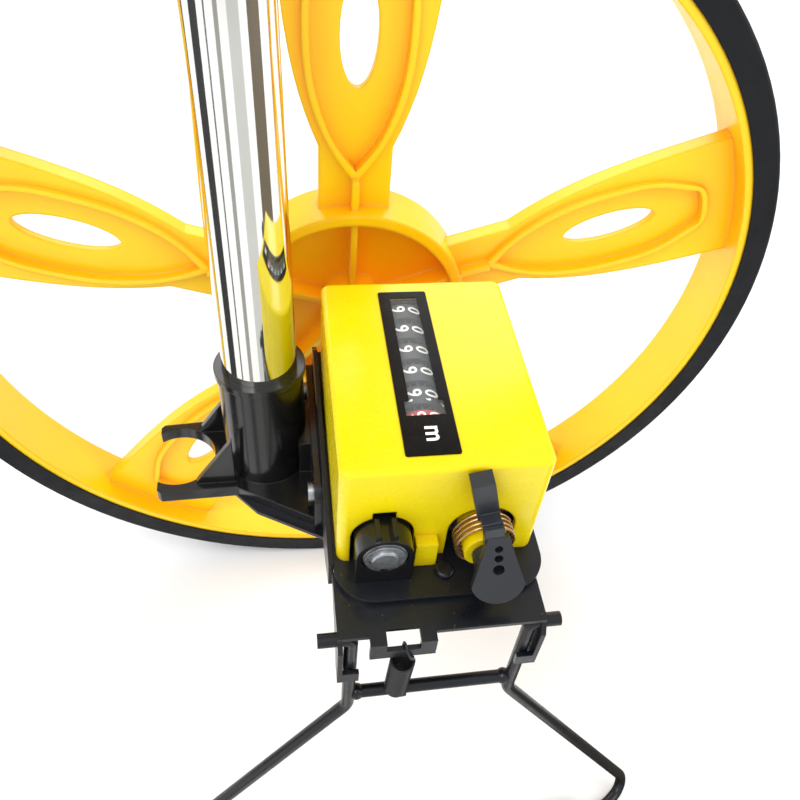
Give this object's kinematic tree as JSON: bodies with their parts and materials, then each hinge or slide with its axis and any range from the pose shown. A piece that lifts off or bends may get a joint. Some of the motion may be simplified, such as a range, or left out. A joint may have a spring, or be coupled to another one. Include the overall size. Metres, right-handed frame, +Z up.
{
  "type": "measuring wheel",
  "caption": "Walking distance wheel with a digit counter, a reset lever, a folding tube handle and a sprung wire stand.",
  "frame": {"origin": "on the ground, midway across the whole part's box in X and Y", "axes": "+Z up along the long handle, +Y along the axle from the counter to the wheel, +X to the right seen from the counter side"},
  "size_m": [0.3184, 0.189, 0.977],
  "materials": {
    "wheel_moulding": "satin moulded plastic",
    "tyre": "matt rubber",
    "housing": "satin moulded plastic",
    "window_mask": "printed film",
    "window_lens": "clear film",
    "drum": "printed plastic",
    "red_drum": "printed plastic",
    "black_plastic": "gloss black plastic",
    "black_steel": "black painted sheet steel",
    "plated_steel": "zinc plated steel",
    "tube": "polished bright aluminium tube",
    "white_plastic": "natural acetal",
    "spring_brass": "brass coloured spring wire",
    "spring_black": "blackened spring wire",
    "grip": "matt ribbed rubber",
    "lever": "dark plastic"
  },
  "bodies": {
    "frame": {"housing": "housing", "window_mask": "window_mask", "window_lens": "window_lens", "base_plate": "black_steel", "base_screws": "black_steel", "front_bearing": "black_plastic", "rear_bearing": "black_plastic", "side_bracket": "black_steel", "pole_holder": "black_plastic", "holder_screws": "plated_steel", "stand_bracket": "black_steel", "counter_front_plate": "plated_steel", "counter_rear_plate": "plated_steel", "tie_rods": "plated_steel", "drum_shaft": "plated_steel", "pinion_shaft": "plated_steel", "idler_stud": "plated_steel", "reset_bush": "housing", "lower_tube": "tube", "lower_knuckle": "black_plastic", "fold_bolt": "plated_steel"},
    "wheel": {"wheel_moulding": "wheel_moulding", "tyre": "tyre", "axle": "plated_steel", "axle_gear": "plated_steel", "axle_spacer": "plated_steel", "axle_washer": "plated_steel", "axle_clip": "plated_steel", "rear_washer": "plated_steel", "axle_nut": "plated_steel"},
    "idler": {"idler_gear": "white_plastic"},
    "drum_wheel_1": {"drum_1": "red_drum", "input_gear": "white_plastic"},
    "drum_wheel_2": {"drum_2": "drum"},
    "drum_wheel_3": {"drum_3": "drum"},
    "drum_wheel_4": {"drum_4": "drum"},
    "drum_wheel_5": {"drum_5": "drum"},
    "drum_wheel_6": {"drum_6": "drum"},
    "pinion_wheel_1": {"transfer_pinion_1": "white_plastic"},
    "pinion_wheel_2": {"transfer_pinion_2": "white_plastic"},
    "pinion_wheel_3": {"transfer_pinion_3": "white_plastic"},
    "pinion_wheel_4": {"transfer_pinion_4": "white_plastic"},
    "pinion_wheel_5": {"transfer_pinion_5": "white_plastic"},
    "reset": {"reset_shaft": "plated_steel", "reset_comb": "white_plastic", "reset_lever": "lever", "reset_spring": "spring_brass"},
    "stand": {"stand_wire": "black_steel", "stand_cross_bar": "black_steel", "stand_spring": "spring_black"},
    "upper_pole": {"upper_tube": "tube", "upper_knuckle": "black_plastic", "grip": "grip", "grip_cap": "black_plastic"},
    "knob": {"fold_knob": "black_plastic"}
  },
  "joints": [
    {"name": "wheel_spin", "type": "hinge", "parent": "frame", "child": "wheel", "pos_m": [0, 0.04257, 0.15915], "axis": [0, 1, 0], "continuous": true},
    {"name": "idler_spin", "type": "hinge", "parent": "frame", "child": "idler", "pos_m": [0.0065, -0.04043, 0.16831], "axis": [0, 1, 0], "continuous": true},
    {"name": "drum_1_spin", "type": "hinge", "parent": "frame", "child": "drum_wheel_1", "pos_m": [0.013, -0.03293, 0.17746], "axis": [0, 1, 0], "continuous": true},
    {"name": "drum_2_spin", "type": "hinge", "parent": "frame", "child": "drum_wheel_2", "pos_m": [0.013, -0.02366, 0.17746], "axis": [0, 1, 0], "continuous": true},
    {"name": "drum_3_spin", "type": "hinge", "parent": "frame", "child": "drum_wheel_3", "pos_m": [0.013, -0.01439, 0.17746], "axis": [0, 1, 0], "continuous": true},
    {"name": "drum_4_spin", "type": "hinge", "parent": "frame", "child": "drum_wheel_4", "pos_m": [0.013, -0.00512, 0.17746], "axis": [0, 1, 0], "continuous": true},
    {"name": "drum_5_spin", "type": "hinge", "parent": "frame", "child": "drum_wheel_5", "pos_m": [0.013, 0.00415, 0.17746], "axis": [0, 1, 0], "continuous": true},
    {"name": "drum_6_spin", "type": "hinge", "parent": "frame", "child": "drum_wheel_6", "pos_m": [0.013, 0.01342, 0.17746], "axis": [0, 1, 0], "continuous": true},
    {"name": "pinion_1_spin", "type": "hinge", "parent": "frame", "child": "pinion_wheel_1", "pos_m": [0.02234, -0.02866, 0.17405], "axis": [0, 1, 0], "continuous": true},
    {"name": "pinion_2_spin", "type": "hinge", "parent": "frame", "child": "pinion_wheel_2", "pos_m": [0.02234, -0.01939, 0.17405], "axis": [0, 1, 0], "continuous": true},
    {"name": "pinion_3_spin", "type": "hinge", "parent": "frame", "child": "pinion_wheel_3", "pos_m": [0.02234, -0.01012, 0.17405], "axis": [0, 1, 0], "continuous": true},
    {"name": "pinion_4_spin", "type": "hinge", "parent": "frame", "child": "pinion_wheel_4", "pos_m": [0.02234, -0.00085, 0.17405], "axis": [0, 1, 0], "continuous": true},
    {"name": "pinion_5_spin", "type": "hinge", "parent": "frame", "child": "pinion_wheel_5", "pos_m": [0.02234, 0.00842, 0.17405], "axis": [0, 1, 0], "continuous": true},
    {"name": "reset_turn", "type": "hinge", "parent": "frame", "child": "reset", "pos_m": [0.0295, -0.06143, 0.15915], "axis": [0, 1, 0], "range_deg": [0, 60], "stiffness_Nm_per_rad": 0.08, "springref_deg": -20.05, "deforming": ["reset_spring"]},
    {"name": "stand_swing", "type": "hinge", "parent": "frame", "child": "stand", "pos_m": [0.0162, -0.07503, 0.14116], "axis": [1, 0, 0], "range_deg": [0, 24], "stiffness_Nm_per_rad": 0.25, "springref_deg": -25.78, "deforming": ["stand_spring"]},
    {"name": "pole_fold", "type": "hinge", "parent": "frame", "child": "upper_pole", "pos_m": [-0.05454, 0.03769, 0.50246], "axis": [-0.0015, -0.996, 0.0896], "range_deg": [0, 180]},
    {"name": "knob_turn", "type": "hinge", "parent": "frame", "child": "knob", "pos_m": [-0.05456, 0.02176, 0.50389], "axis": [-0.0015, -0.996, 0.0896], "continuous": true}
  ],
  "couplings": [
    {"joint": "idler_spin", "follows": "wheel_spin", "ratio": -1.3333},
    {"joint": "drum_1_spin", "follows": "wheel_spin", "ratio": 1},
    {"joint": "drum_2_spin", "follows": "wheel_spin", "ratio": 0.1},
    {"joint": "drum_3_spin", "follows": "wheel_spin", "ratio": 0.01},
    {"joint": "drum_4_spin", "follows": "wheel_spin", "ratio": 0.001},
    {"joint": "drum_5_spin", "follows": "wheel_spin", "ratio": 0.0001},
    {"joint": "drum_6_spin", "follows": "wheel_spin", "ratio": 0.00001},
    {"joint": "pinion_1_spin", "follows": "wheel_spin", "ratio": -0.25},
    {"joint": "pinion_2_spin", "follows": "wheel_spin", "ratio": -0.025},
    {"joint": "pinion_3_spin", "follows": "wheel_spin", "ratio": -0.0025},
    {"joint": "pinion_4_spin", "follows": "wheel_spin", "ratio": -0.00025},
    {"joint": "pinion_5_spin", "follows": "wheel_spin", "ratio": -0.000025}
  ]
}
